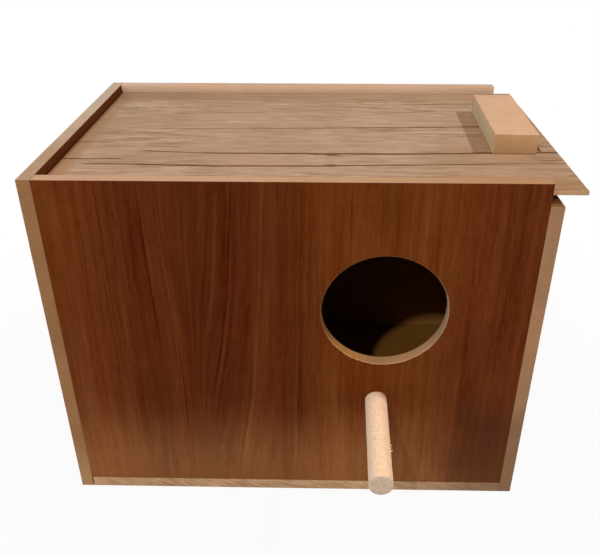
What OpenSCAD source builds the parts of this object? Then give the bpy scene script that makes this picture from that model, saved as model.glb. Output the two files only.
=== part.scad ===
// Parrot nest box: six panels and a lid that slides out to the right.
// Millimetres, +Z up, -Y to the front. The origin is the centre of the underside.

/* [Box] */
// Outer width over the two side panels
box_w = 300; // [260:1:380]
// Outer depth from the front face to the back face
box_d = 205; // [160:1:280]
// Height of the front, back and left panels' top edges
box_h = 230; // [200:1:300]
// Thickness of every panel board
board_t = 8; // [6:0.5:12]

/* [Lid] */
// Thickness of the lid board
lid_t = 2.5; // [2:0.1:4]
// How far the lid's top face lies below the panels' top edges
lid_recess = 6; // [4:0.5:12]
// How far the lid stands out past the right panel
lid_overhang = 13; // [6:1:30]
// Depth of the lid grooves in the front and back panels
groove_depth = 4; // [2:0.5:5]
// Play between the lid and its grooves, above it and at each edge
lid_play = 0.5; // [0.2:0.1:1]
// Air gap between the lid and the top edge of the right panel
vent_gap = 5; // [3:0.5:12]

/* [Handle] */
// Size of the handle block across its narrow way
handle_w = 27; // [18:1:40]
// Length of the handle block from front to back
handle_l = 88; // [60:1:120]
// Height of the handle block above the lid
handle_h = 13; // [10:0.5:20]
// Gap from the lid's right end to the handle block
handle_inset = 13; // [2:0.5:40]
// How far the handle sits behind the middle of the lid
handle_shift = 3.5; // [-15:0.5:15]
// Angle that the handle is turned by on the lid, in degrees
handle_turn = -1.7; // [-5:0.1:5]

/* [Entrance] */
// Diameter of the round entrance
entrance_d = 76; // [50:1:90]
// Height of the entrance's centre above the base
entrance_z = 147; // [130:1:155]
// How far the entrance's centre is right of the middle
entrance_x = 55; // [-60:1:60]

/* [Perch] */
// Diameter of the perch dowel
perch_d = 14; // [8:0.5:20]
// Length of the perch in front of the front panel
perch_out = 73.5; // [40:0.5:120]
// Distance from the entrance's lower rim down to the perch's axis
perch_drop = 29; // [18:1:45]
// How far the perch's axis is right of the entrance's centre
perch_shift = -2; // [-20:0.5:20]
// Width of the small edge taken off the perch's free end
perch_edge = 0.6; // [0.2:0.1:2]
// Angle in degrees that the perch leans by in its hole, its free end to the left
perch_lean = 1.3; // [-2:0.1:2]
// Least glue gap around the perch in its hole
perch_gap = 0.05; // [0.05:0.05:0.3]

/* [Brads] */
// Diameter of a brad's shank
brad_d = 1.4; // [1:0.1:2]
// Diameter of a brad's head
brad_head_d = 2.4; // [2.1:0.1:3.5]
// Thickness of a brad's head
brad_head_t = 0.8; // [0.4:0.1:1.5]
// Length of the brads that hold the panels
brad_l = 25; // [18:1:35]
// Length of the brads that hold the handle
handle_brad_l = 12; // [8:0.5:14]
// Distance from a joint's ends to its outer brads
brad_margin = 28; // [15:1:40]
// Number of brads in each panel joint
brad_count = 3; // [2:1:5]
// Distance between the two brads of the handle
handle_brad_gap = 50; // [30:1:70]
// Gap between a brad and the wall of its hole
brad_gap = 0.05; // [0.02:0.01:0.1]

/* [Hidden] */
// Faces of the box
left_x = -box_w / 2;
right_x = box_w / 2;
front_y = -box_d / 2;
back_y = box_d / 2;
// Inner faces of the panels
inner_left_x = left_x + board_t;
inner_right_x = right_x - board_t;
inner_front_y = front_y + board_t;
inner_back_y = back_y - board_t;
// Middle planes of the boards
front_mid_y = front_y + board_t / 2;
back_mid_y = back_y - board_t / 2;
right_mid_x = right_x - board_t / 2;
floor_mid_z = board_t / 2;
// Lid and the grooves that it slides in
lid_top_z = box_h - lid_recess;
lid_under_z = lid_top_z - lid_t;
groove_top_z = lid_top_z + lid_play;
lid_edge = groove_depth - lid_play;
lid_left_x = inner_left_x + lid_play;
lid_right_x = right_x + lid_overhang;
right_panel_h = lid_under_z - vent_gap;
// Handle block on the lid
handle_x = lid_right_x - handle_inset - handle_w / 2;
// Entrance and perch
perch_x = entrance_x + perch_shift;
perch_z = entrance_z - entrance_d / 2 - perch_drop;
perch_l = perch_out + board_t;
perch_hole_d = perch_d + 2 * perch_gap + board_t * tan(abs(perch_lean));
// Overshoot of a cut past a face
cut = 1;
// Facets of the round parts
round_fn = 96;
brad_fn = 24;

// Directions in which the brads are driven
drive_right = [0, 90, 0];
drive_left = [0, -90, 0];
drive_front = [90, 0, 0];
drive_up = [0, 0, 0];

// Evenly spaced places from one end of a joint to the other
function spread(from, to) =
    let (first = from + brad_margin, last = to - brad_margin)
    [for (i = [0 : brad_count - 1]) first + (last - first) * i / (brad_count - 1)];

// Places of the brad heads, one list for each joint
left_front_heads = [for (z = spread(board_t, lid_under_z)) [left_x, front_mid_y, z]];
left_back_heads = [for (z = spread(board_t, lid_under_z)) [left_x, back_mid_y, z]];
left_floor_heads = [for (y = spread(front_y, inner_back_y)) [left_x, y, floor_mid_z]];
right_front_heads = [for (z = spread(board_t, right_panel_h)) [right_x, front_mid_y, z]];
right_floor_heads = [for (y = spread(front_y, inner_back_y)) [right_x, y, floor_mid_z]];
back_right_heads = [for (z = spread(board_t, right_panel_h)) [right_mid_x, back_y, z]];
back_floor_heads = [for (x = spread(inner_left_x, inner_right_x)) [x, back_y, floor_mid_z]];
floor_front_heads = [for (x = spread(inner_left_x, inner_right_x)) [x, front_mid_y, 0]];
handle_heads = [for (side = [-1, 1]) [0, side * handle_brad_gap / 2, lid_under_z]];

// Rectangular board from its lowest corner to its highest corner
module board(low, high) {
    translate(low) cube(high - low);
}

// Round bar driven from front to back, centred on x and z
module bar_y(x, y, z, length, diameter) {
    translate([x, y, z]) rotate([-90, 0, 0]) cylinder(h = length, d = diameter, $fn = round_fn);
}

// One brad along +Z with the top of its head at z = 0
module brad(length) {
    cylinder(h = brad_head_t, d = brad_head_d, $fn = brad_fn);
    cylinder(h = length, d = brad_d, $fn = brad_fn);
}

// The hole that one brad leaves, open past its head
module brad_hole(length) {
    translate([0, 0, -cut])
        cylinder(h = brad_head_t + cut, d = brad_head_d + 2 * brad_gap, $fn = brad_fn);
    cylinder(h = length + brad_gap, d = brad_d + 2 * brad_gap, $fn = brad_fn);
}

module brads(heads, drive, length) {
    color("silver") for (head = heads) translate(head) rotate(drive) brad(length);
}

module brad_holes(heads, drive, length) {
    for (head = heads) translate(head) rotate(drive) brad_hole(length);
}

// Groove for one edge of the lid, cut into a panel's inner face
module lid_groove(low_y, high_y) {
    board([left_x - cut, low_y, lid_under_z], [right_x + cut, high_y, groove_top_z]);
}

// Places a child on the lid where the handle is
module at_handle() {
    translate([handle_x, handle_shift, 0]) rotate([0, 0, handle_turn]) children();
}

module front_panel() {
    color("saddlebrown") difference() {
        board([inner_left_x, front_y, board_t], [inner_right_x, inner_front_y, box_h]);
        lid_groove(inner_front_y - groove_depth, inner_front_y + cut);
        bar_y(entrance_x, front_y - cut, entrance_z, board_t + 2 * cut, entrance_d);
        bar_y(perch_x, front_y - cut, perch_z, board_t + 2 * cut, perch_hole_d);
        brad_holes(left_front_heads, drive_right, brad_l);
        brad_holes(right_front_heads, drive_left, brad_l);
        brad_holes(floor_front_heads, drive_up, brad_l);
    }
}

// The back panel covers the rear ends of the right panel and the floor
module back_panel() {
    color("tan") difference() {
        board([inner_left_x, inner_back_y, 0], [right_x, back_y, box_h]);
        lid_groove(inner_back_y - cut, inner_back_y + groove_depth);
        brad_holes(left_back_heads, drive_right, brad_l);
        brad_holes(back_right_heads, drive_front, brad_l);
        brad_holes(back_floor_heads, drive_front, brad_l);
    }
}

module left_panel() {
    color("saddlebrown") difference() {
        board([left_x, front_y, 0], [inner_left_x, back_y, box_h]);
        brad_holes(left_front_heads, drive_right, brad_l);
        brad_holes(left_back_heads, drive_right, brad_l);
        brad_holes(left_floor_heads, drive_right, brad_l);
    }
}

// The right panel ends below the lid, which slides out over it
module right_panel() {
    color("saddlebrown") difference() {
        board([inner_right_x, front_y, 0], [right_x, inner_back_y, right_panel_h]);
        brad_holes(right_front_heads, drive_left, brad_l);
        brad_holes(right_floor_heads, drive_left, brad_l);
        brad_holes(back_right_heads, drive_front, brad_l);
    }
}

module floor_panel() {
    color("burlywood") difference() {
        board([inner_left_x, front_y, 0], [inner_right_x, inner_back_y, board_t]);
        brad_holes(left_floor_heads, drive_right, brad_l);
        brad_holes(right_floor_heads, drive_left, brad_l);
        brad_holes(back_floor_heads, drive_front, brad_l);
        brad_holes(floor_front_heads, drive_up, brad_l);
    }
}

module lid() {
    color("rosybrown") difference() {
        board(
            [lid_left_x, inner_front_y - lid_edge, lid_under_z],
            [lid_right_x, inner_back_y + lid_edge, lid_top_z]
        );
        at_handle() brad_holes(handle_heads, drive_up, handle_brad_l);
    }
}

module lid_handle() {
    color("peru") difference() {
        at_handle() board(
            [-handle_w / 2, -handle_l / 2, lid_top_z],
            [handle_w / 2, handle_l / 2, lid_top_z + handle_h]
        );
        at_handle() brad_holes(handle_heads, drive_up, handle_brad_l);
    }
}

// Dowel flush with the inside of the front panel, its free end lightly edged
module perch() {
    tip_y = board_t / 2 - perch_l;
    color("wheat") translate([perch_x, front_mid_y, perch_z]) rotate([0, 0, -perch_lean]) {
        bar_y(0, tip_y + perch_edge, 0, perch_l - perch_edge, perch_d);
        translate([0, tip_y, 0]) rotate([-90, 0, 0])
            cylinder(h = perch_edge, d1 = perch_d - 2 * perch_edge, d2 = perch_d, $fn = round_fn);
    }
}

front_panel();
back_panel();
left_panel();
right_panel();
floor_panel();
lid();
lid_handle();
perch();
brads(left_front_heads, drive_right, brad_l);  // left_front_brads
brads(left_back_heads, drive_right, brad_l);  // left_back_brads
brads(left_floor_heads, drive_right, brad_l);  // left_floor_brads
brads(right_front_heads, drive_left, brad_l);  // right_front_brads
brads(right_floor_heads, drive_left, brad_l);  // right_floor_brads
brads(back_right_heads, drive_front, brad_l);  // back_right_brads
brads(back_floor_heads, drive_front, brad_l);  // back_floor_brads
brads(floor_front_heads, drive_up, brad_l);  // floor_front_brads
at_handle() brads(handle_heads, drive_up, handle_brad_l);  // handle_brads
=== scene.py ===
"""Looks of the parrot nest box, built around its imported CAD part. Metres, +Z up, -Y to the front."""

import math

import bmesh
import bpy
from mathutils import Matrix, Vector, noise


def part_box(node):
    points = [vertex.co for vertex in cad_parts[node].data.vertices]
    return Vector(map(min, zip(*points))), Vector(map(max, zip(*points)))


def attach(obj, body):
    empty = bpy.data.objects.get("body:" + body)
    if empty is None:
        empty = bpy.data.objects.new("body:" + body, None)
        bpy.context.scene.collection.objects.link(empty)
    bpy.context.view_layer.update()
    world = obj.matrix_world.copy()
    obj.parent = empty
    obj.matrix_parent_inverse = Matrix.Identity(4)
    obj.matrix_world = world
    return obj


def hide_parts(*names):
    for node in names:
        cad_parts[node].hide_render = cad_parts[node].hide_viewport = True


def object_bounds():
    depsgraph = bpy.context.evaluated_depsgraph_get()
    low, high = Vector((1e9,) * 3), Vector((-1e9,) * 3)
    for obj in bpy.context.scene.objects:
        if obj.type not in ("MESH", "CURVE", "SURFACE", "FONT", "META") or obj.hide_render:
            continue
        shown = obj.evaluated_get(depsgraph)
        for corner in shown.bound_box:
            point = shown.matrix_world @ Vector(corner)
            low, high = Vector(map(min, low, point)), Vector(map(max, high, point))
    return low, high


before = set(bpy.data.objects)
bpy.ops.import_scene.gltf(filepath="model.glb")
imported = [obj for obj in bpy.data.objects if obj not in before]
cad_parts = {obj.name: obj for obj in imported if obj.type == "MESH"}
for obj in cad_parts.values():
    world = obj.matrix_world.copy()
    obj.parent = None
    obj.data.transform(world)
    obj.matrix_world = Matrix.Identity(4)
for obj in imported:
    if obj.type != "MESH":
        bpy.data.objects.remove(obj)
cad_low, cad_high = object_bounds()

MM = 0.001
X, Y, Z = 0, 1, 2

# Pieces that other things are placed by, taken from the imported CAD part
FRONT_LOW, FRONT_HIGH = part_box("front_panel")
BACK_LOW, BACK_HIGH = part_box("back_panel")
LEFT_LOW, LEFT_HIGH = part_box("left_panel")
RIGHT_LOW, RIGHT_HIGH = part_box("right_panel")
FLOOR_LOW, FLOOR_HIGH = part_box("floor_panel")
LID_LOW, LID_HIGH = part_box("lid")
HANDLE_LOW, HANDLE_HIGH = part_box("lid_handle")
BOARD = FRONT_HIGH.y - FRONT_LOW.y

# Edges: how round and how worn they are, and how finely a board is divided
BOARD_ROUND = 0.2 * MM
BOARD_WEAR = 0.15 * MM
LID_ROUND = 0.3 * MM
HANDLE_ROUND = 0.6 * MM
HANDLE_WEAR = 0.35 * MM
EDGE_STRIP = 0.6 * MM
BOARD_STEP = 4.5 * MM
HANDLE_STEP = 2.5 * MM
# Wear: rubbed stretches and dents per metre, and the noise level at which dents start
RUBS = 90
DENTS = 260
DENT_SEED = Vector((7, 3, 5))
DENT_LEVEL = 0.45
DENT_DEPTH = 2.2

# Entrance and lid groove. A cutter reaches past the board by CUT.
CUT = 1 * MM
ENTRANCE_CENTRE = Vector((55 * MM, FRONT_LOW.y, 147 * MM))
ENTRANCE_RADIUS = 38 * MM
ENTRANCE_ROUND = 0.25 * MM
ENTRANCE_FLARE = 0.4 * MM
ENTRANCE_SIDES = 240
LID_PLAY = 0.2 * MM
FLOOR_NOTCH = Vector((0.7 * MM, 1.6 * MM, 7.2 * MM))

# Handle block on the lid
HANDLE_CENTRE = (HANDLE_LOW + HANDLE_HIGH) / 2
HANDLE_WIDTH = 27 * MM
HANDLE_LENGTH = 88 * MM
HANDLE_TURN = math.radians(-1.7)
HANDLE_BRAD_GAP = 50 * MM

# Perch: the middle of its hole, and how far it leans to the left at its free end
PERCH_HOLE = Vector((53 * MM, (FRONT_LOW.y + FRONT_HIGH.y) / 2, 80 * MM))
PERCH_RADIUS = 7 * MM
PERCH_GAP = 0.14 * MM
PERCH_OUT = 73.5 * MM
PERCH_LEAN = math.radians(1.3)
PERCH_HOLE_SIDES = 96

# Brads: radius of head and shank, and of the holes that they sit in
BRAD_HEAD_RADIUS = 1.2 * MM
BRAD_RADIUS = 0.7 * MM
BRAD_HEAD = 0.8 * MM
BRAD_GAP = 0.05 * MM
HEAD_HOLE = BRAD_HEAD_RADIUS + BRAD_GAP
SHANK_HOLE = BRAD_RADIUS + BRAD_GAP
SHANK_START = BRAD_HEAD + 0.02 * MM
BRADS_A_JOINT = 3
BRAD_SIDES = 32

# Camera, fitted to the box's corners in the photograph, which is 600 pixels wide
FRAME_WIDTH = 600
FOCAL_PIXELS = 703.9
AXIS_PIXEL = 310
CAMERA_PLACE = Vector((17.5 * MM, -456.8 * MM, 374.5 * MM))
CAMERA_DOWN = math.radians(29.9)
CAMERA_LEFT = math.radians(1.14)
SENSOR_WIDTH = 36

# Lamps: name, direction from the box, distance, width, height, level, colour, seen in glints
WARM = (1.0, 0.95, 0.87)
COOL = (0.88, 0.94, 1.0)
LAMPS = [
    ("key_lamp", (-0.285, -1.0, 0.861), 1.6, 0.05, 0.05, 0.31, WARM, True),
    ("low_front_panel", (0.0, -1.0, 0.02), 1.8, 1.6, 0.4, 0.34, WARM, True),
    ("ceiling_panel", (-0.3, -0.7, 1.2), 1.8, 1.0, 1.0, 0.22, WARM, True),
    ("right_lamp", (0.9, -0.02, 1.0), 1.6, 0.06, 0.06, 0.5, COOL, True),
    ("left_lamp", (-1.0, -0.05, 0.6), 1.6, 0.3, 0.3, 0.22, (0.7, 0.88, 1.0), True),
    ("back_window", (0.0, 1.0, 0.268), 1.8, 1.6, 0.15, 0.4, (0.5, 0.72, 1.0), False),
]
WHITE = (1.0, 1.0, 1.0, 1.0)
WORLD_COLOUR = (1.0, 0.96, 0.91, 1.0)
WORLD_FILL = 0.2

# Floor: its grey in the light. The camera sees it STAGE_GLOW white up to STAGE_NEAR from the
# middle, and wholly white from STAGE_FAR on.
STAGE_RADIUS = 8.0
STAGE_GAP = 0.2 * MM
STAGE_GREY = (0.62, 0.62, 0.62, 1.0)
STAGE_NEAR, STAGE_FAR = 0.18, 0.46
STAGE_GLOW = 0.93


def colour(red, green, blue):
    """Linear colour of an sRGB colour that is given in 0 to 255."""
    def linear(value):
        share = value / 255
        return share / 12.92 if share <= 0.04045 else ((share + 0.055) / 1.055) ** 2.4
    return (linear(red), linear(green), linear(blue), 1.0)


class Net:
    """Short calls that add nodes to one material or world and return their sockets."""

    def __init__(self, owner):
        self.owner = owner
        owner.use_nodes = True
        self.tree = owner.node_tree
        self.tree.nodes.clear()

    def add(self, kind, settings=None, **inputs):
        node = self.tree.nodes.new(kind)
        for key, value in (settings or {}).items():
            setattr(node, key, value)
        for key, value in inputs.items():
            self.feed(node.inputs[key.replace("_", " ")], value)
        return node

    def feed(self, socket, value):
        if isinstance(value, bpy.types.NodeSocket):
            self.tree.links.new(value, socket)
        else:
            socket.default_value = value

    def feed_all(self, node, values):
        """Feeds the node's inputs in their order and returns its first output."""
        for socket, value in zip(node.inputs, values):
            self.feed(socket, value)
        return node.outputs[0]

    def math(self, operation, *values):
        return self.feed_all(self.add("ShaderNodeMath", {"operation": operation}), values)

    def vector_math(self, operation, *values):
        return self.feed_all(self.add("ShaderNodeVectorMath", {"operation": operation}), values)

    def product(self, value, *others):
        for other in others:
            value = self.math("MULTIPLY", value, other)
        return value

    def plus(self, value, other, share=1.0):
        """Value plus a share of another one."""
        return self.math("MULTIPLY_ADD", other, share, value)

    def highest(self, values):
        """The highest of some values, none of which is below zero."""
        found = 0.0
        for value in values:
            found = self.math("MAXIMUM", found, value)
        return found

    def swayed(self, value, layer, share):
        """Value plus a share of a noise layer, counted from the layer's middle."""
        return self.plus(value, self.plus(layer, -0.5), share)

    def place(self):
        return self.add("ShaderNodeTexCoord").outputs["Object"]

    def axes(self, vector):
        return self.add("ShaderNodeSeparateXYZ", Vector=vector).outputs

    def vector(self, x, y, z):
        return self.add("ShaderNodeCombineXYZ", X=x, Y=y, Z=z).outputs[0]

    def noise(self, vector, scale=1.0, detail=2.0, roughness=0.5):
        return self.add(
            "ShaderNodeTexNoise", Vector=vector, Scale=scale, Detail=detail, Roughness=roughness,
        ).outputs["Fac"]

    def stretched(self, vector, stretch, detail=2.0, roughness=0.5):
        """Noise with a scale of its own along each axis."""
        scaled = self.vector_math("MULTIPLY", vector, stretch)
        return self.noise(scaled, detail=detail, roughness=roughness)

    def layers(self, vector, table):
        return {name: self.stretched(vector, *values) for name, values in table.items()}

    def span(self, value, low, high, new_low=0.0, new_high=1.0, kind="SMOOTHSTEP"):
        """Value mapped smoothly from low..high to new_low..new_high, held at both ends."""
        return self.add(
            "ShaderNodeMapRange", {"interpolation_type": kind}, Value=value,
            From_Min=low, From_Max=high, To_Min=new_low, To_Max=new_high,
        ).outputs[0]

    def straight(self, *values):
        """The same in a straight line."""
        return self.span(*values, kind="LINEAR")

    def ramp(self, value, stops, easing="LINEAR"):
        node = self.add("ShaderNodeValToRGB", Fac=value)
        node.color_ramp.interpolation = easing
        points = node.color_ramp.elements
        while len(points) < len(stops):
            points.new(1.0)
        for point, (place, shade) in zip(points, stops):
            point.position = place
            point.color = shade
        return node.outputs["Color"]

    def tones(self, value, stops):
        """Ramp between sRGB colours."""
        return self.ramp(value, [(place, colour(*shade)) for place, shade in stops])

    def mix(self, factor, first, second, blend="MIX"):
        node = self.add("ShaderNodeMix", {"data_type": "RGBA", "blend_type": blend})
        for index, value in ((0, factor), (6, first), (7, second)):
            self.feed(node.inputs[index], value)
        return node.outputs[2]

    def toward(self, share, shade, other):
        """Shade moved by a share toward an sRGB colour."""
        return self.mix(share, shade, colour(*other))

    def tinted(self, shade, tint):
        return self.mix(1.0, shade, tint, "MULTIPLY")

    def bump(self, height, distance, strength):
        return self.add(
            "ShaderNodeBump", Height=height, Distance=distance, Strength=strength
        ).outputs[0]

    def finish(self, base, roughness, specular, normal, metallic=0.0, tint=WHITE):
        shader = self.add(
            "ShaderNodeBsdfPrincipled", Base_Color=base, Roughness=roughness, Metallic=metallic,
            Specular_IOR_Level=specular, Specular_Tint=tint, Normal=normal)
        self.add("ShaderNodeOutputMaterial", Surface=shader.outputs[0])
        return self.owner

    def blend(self, share, first, second, output):
        """Ends the net with a mix of two shaders."""
        mixed = self.add("ShaderNodeMixShader")
        shader = self.feed_all(mixed, (share, first.outputs[0], second.outputs[0]))
        self.add(output, Surface=shader)


# Front's walnut print. Its grain closes in on one place towards the foot: for places along
# the foot in mm, how far to the right of it the same grain line meets the top edge.
FIGURE_SHIFTS = [
    (-142, 0), (-120, 0), (-104, -0.8), (-84, -2.2), (-74, -4.6), (-69, -4.2), (-65.5, 0),
    (-60, 20), (-55, 28), (-48, 26.5), (-40, 22.5), (-27, 15.8), (-14, 10.5), (-2, 6),
    (12, 1), (22, 0), (142, 0),
]
SHIFT_RANGE = 100
# Each vein is a line in that bent grain: x at the top edge, z from, z to and width in mm, then
# its strength
DARK_VEINS = [
    (-125, 90, 200, 0.9, 0.2), (-110, 90, 190, 0.8, 0.35), (-107.5, 105, 228, 0.8, 0.6),
    (-98.9, 62, 146, 0.9, 0.5), (-84, 115, 220, 0.9, 0.8), (-73.4, 55, 115, 0.9, 0.5),
    (-60, 120, 220, 1.0, 0.25), (-44, 90, 180, 1.0, 0.3), (-32.4, 84, 226, 0.9, 0.85),
    (-29, 60, 190, 1.4, 0.3), (-17.3, 20, 96, 0.8, 0.6), (5.9, 20, 225, 0.6, 0.5),
    (7, 60, 225, 1.0, 0.45), (33.2, 183, 226, 0.8, 0.8), (50.5, 186, 226, 0.7, 0.45),
    (38, 60, 112, 0.8, 0.5), (66, 190, 226, 0.6, 0.4), (104, 110, 222, 1.0, 0.4),
    (121, 70, 200, 0.8, 0.3),
]
PALE_VEINS = [
    (-132, 60, 225, 2.5, 0.4), (-102, 110, 170, 1.0, 0.5), (-74.6, 50, 220, 0.9, 0.9),
    (-40, 112, 226, 1.5, 0.5), (-30.9, 100, 165, 1.0, 0.8), (-16, 25, 228, 1.3, 0.8),
    (-11, 55, 170, 0.9, 0.5), (4.7, 20, 225, 0.8, 0.7), (76, 188, 225, 1.6, 0.5),
    (104, 40, 160, 1.4, 0.35), (-55, 60, 180, 1.6, 0.3),
]
# Darker and lighter stretches of that print along its top edge: x in mm, tone
FRONT_TONES = [
    (-142, 0.48), (-134, 0.53), (-121, 0.48), (-109, 0.44), (-106, 0.33), (-96, 0.28),
    (-84, 0.24), (-78, 0.32), (-56, 0.21), (-46, 0.28), (-37, 0.18), (-22, 0.20),
    (-15, 0.34), (4, 0.30), (12, 0.44), (26, 0.57), (40, 0.53), (54, 0.45),
    (76, 0.60), (92, 0.45), (99, 0.50), (107, 0.40), (142, 0.38),
]

WALNUT_TONES = [
    (0.0, (60, 20, 4)), (0.25, (77, 31, 9)), (0.5, (93, 42, 16)),
    (0.75, (108, 56, 28)), (1.0, (128, 77, 46)),
]
# Layers of noise in a print: scale across the grain, along it and from print to print, then
# detail and roughness
WALNUT_LAYERS = {
    "broad": ((60.0, 4.0, 1.0), 2.0, 0.5),
    "streak": ((260.0, 9.0, 3.0), 3.0, 0.6),
    "fine": ((900.0, 60.0, 7.0), 2.0, 0.7),
    "pores": ((1500.0, 150.0, 11.0), 1.0, 0.5),
    "hue": ((44.0, 9.0, 13.0), 2.0, 0.5),
    "mottle": ((22.0, 30.0, 5.0), 3.0, 0.5),
}
WALNUT_WANDER = 4.5 * MM
# How much a fine line of this print changes its red, green and blue
FINE_SHARES = (0.6, 0.26, 0.13)
REDDER = (1.0, 0.92, 0.97, 1.0)
GREENER = (1.0, 1.08, 0.95, 1.0)
GOLDEN = (0.97, 1.03, 0.78, 1.0)
PRINT_SHEEN = (1.0, 0.6, 0.3, 1.0)
# Colour of the painted reflection of the bright floor along the front's foot
FOOT_PAINTED_REFLECTION = (0.106, 0.053, 0.0205, 1.0)


# Walnut prints: name, axes across and along the grain, seed, whether it is the front's or deep
WALNUTS = [
    ("walnut_front", X, Z, 0.0, True), ("walnut_back", X, Z, 4.0), ("walnut_left", Y, Z, 8.0),
    ("walnut_left_inner", Y, Z, 10.0, False, True), ("walnut_right", Y, Z, 12.0),
    ("walnut_under", Y, X, 16.0),
]


def front_ramp(net, x, levels, easing="LINEAR"):
    """Level at a place x of the front, between the levels given for some places in mm."""
    width = FRONT_HIGH.x - FRONT_LOW.x
    return net.ramp(net.straight(x, FRONT_LOW.x, FRONT_HIGH.x), [
        ((place * MM - FRONT_LOW.x) / width, (level, level, level, 1.0))
        for place, level in levels], easing)


def bent_grain(net, across, along):
    """Coordinate that stays the same along the front's bent grain: its place at the top edge."""
    levels = [(place, 0.5 + shift / SHIFT_RANGE) for place, shift in FIGURE_SHIFTS]
    shift = net.swayed(0.0, front_ramp(net, across, levels, "CARDINAL"), SHIFT_RANGE * MM)
    fall = net.math("DIVIDE", net.math("SUBTRACT", FRONT_HIGH.z, along),
                    FRONT_HIGH.z - FRONT_LOW.z)
    return net.plus(across, shift, fall)


def vein(net, grain, along, x, low, high, width, strength):
    """How strongly one vein shows at a point of the print, from 0 to 1."""
    off = net.math("ABSOLUTE", net.math("SUBTRACT", grain, x * MM))
    core = net.span(off, 0.0, width * MM, strength, 0.0)
    rise = net.span(along, (low - 18) * MM, (low + 18) * MM)
    fall = net.span(along, (high - 12) * MM, (high + 12) * MM, 1.0, 0.0)
    return net.product(core, rise, fall)


def front_lines(net, across, along, grain, lines):
    """The front's fine lines: weak in the figure, stronger beside it, and with veins."""
    aside = net.math("ABSOLUTE", net.plus(across, 40 * MM))
    lines = net.product(lines, net.span(aside, 40 * MM, 80 * MM, 0.92, 1.35))
    for table, depth in ((DARK_VEINS, -0.05), (PALE_VEINS, 0.042)):
        found = net.highest([vein(net, grain, along, *values) for values in table])
        lines = net.plus(lines, found, depth)
    return lines


def front_painted_reflection_and_shade(net, across, along, shade, lines):
    """Painted reflection: a haze along the foot, streaked with the grain; painted shade dulls the
    lower right corner.
    """
    flat = net.vector(across, along, 1.0)
    cloud = net.stretched(flat, (26.0, 26.0, 3.0))
    shift = net.swayed(0.0, cloud, 22 * MM)
    height = net.plus(along, shift)
    corner = net.span(net.plus(across, shift), 84 * MM, 120 * MM)
    foot = net.span(net.plus(height, corner, 24 * MM), 86 * MM, 12 * MM)
    kept = net.plus(1.0, corner, -0.28)
    bands = net.stretched(flat, (85.0, 14.0, 9.0))
    streaked = net.swayed(net.plus(1.0, lines, 6.0), bands, 0.7)
    # Painted reflection along the foot, weaker in the shaded corner
    shade = net.mix(net.product(foot, kept, streaked), shade, FOOT_PAINTED_REFLECTION, "ADD")
    low = net.span(height, 96 * MM, 56 * MM)
    # Painted shade in the lower right corner
    return net.toward(net.product(corner, low, 0.55), shade, (65, 35, 20))


def walnut(name, across_axis, along_axis, seed, front=False, deep=False):
    """Walnut print on a melamine face, its grain along one axis."""
    net = Net(bpy.data.materials.new(name))
    place = net.axes(net.place())
    across, along = place[across_axis], place[along_axis]
    grain = bent_grain(net, across, along) if front else across
    wander = net.stretched(net.vector(grain, along, seed), (30.0, 9.0, 1.0), 3.0)
    grain = net.swayed(grain, wander, WALNUT_WANDER)
    lay = net.vector(grain, along, seed)
    layer = net.layers(lay, WALNUT_LAYERS)
    pores = net.span(layer["pores"], 0.58, 0.72)
    lines = net.product(pores, -0.022)
    for part in ("streak", "fine"):
        lines = net.swayed(lines, layer[part], 0.066)
    if front:
        swing = 0.4
        tone = front_ramp(net, grain, FRONT_TONES)
        hue = net.plus(layer["hue"], net.span(across, -124 * MM, -138 * MM, 0.0, 0.3))
        lines = front_lines(net, across, along, grain, lines)
    else:
        swing = 0.5
        tone = net.product(net.stretched(lay, (24.0, 1.4, 2.0)), 0.8)
        hue = layer["hue"]
    for part, share in (("broad", swing), ("streak", 0.3), ("mottle", 0.2)):
        tone = net.swayed(tone, layer[part], share)
    shade = net.tones(tone, WALNUT_TONES)
    shade = net.mix(net.span(hue, 0.3, 0.7), net.tinted(shade, REDDER), net.tinted(shade, GREENER))
    if front:
        band = net.product(net.span(across, -12 * MM, 12 * MM),
                           net.span(across, 108 * MM, 84 * MM))
        shade = net.mix(band, shade, net.tinted(shade, GOLDEN))
    shade = net.vector_math("MULTIPLY_ADD", lines, FINE_SHARES, shade)
    if deep:
        shade = net.toward(0.75, shade, (97, 41, 10))
    # The front gets a painted reflection along its foot and painted shade in its lower right corner
    if front:
        shade = front_painted_reflection_and_shade(net, across, along, shade, lines)
    height = net.plus(layer["fine"], pores, -0.6)
    gloss = net.plus(0.38, layer["streak"], 0.16)
    return net.finish(shade, gloss, 0.08, net.bump(height, 0.03 * MM, 0.5), tint=PRINT_SHEEN)


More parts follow.
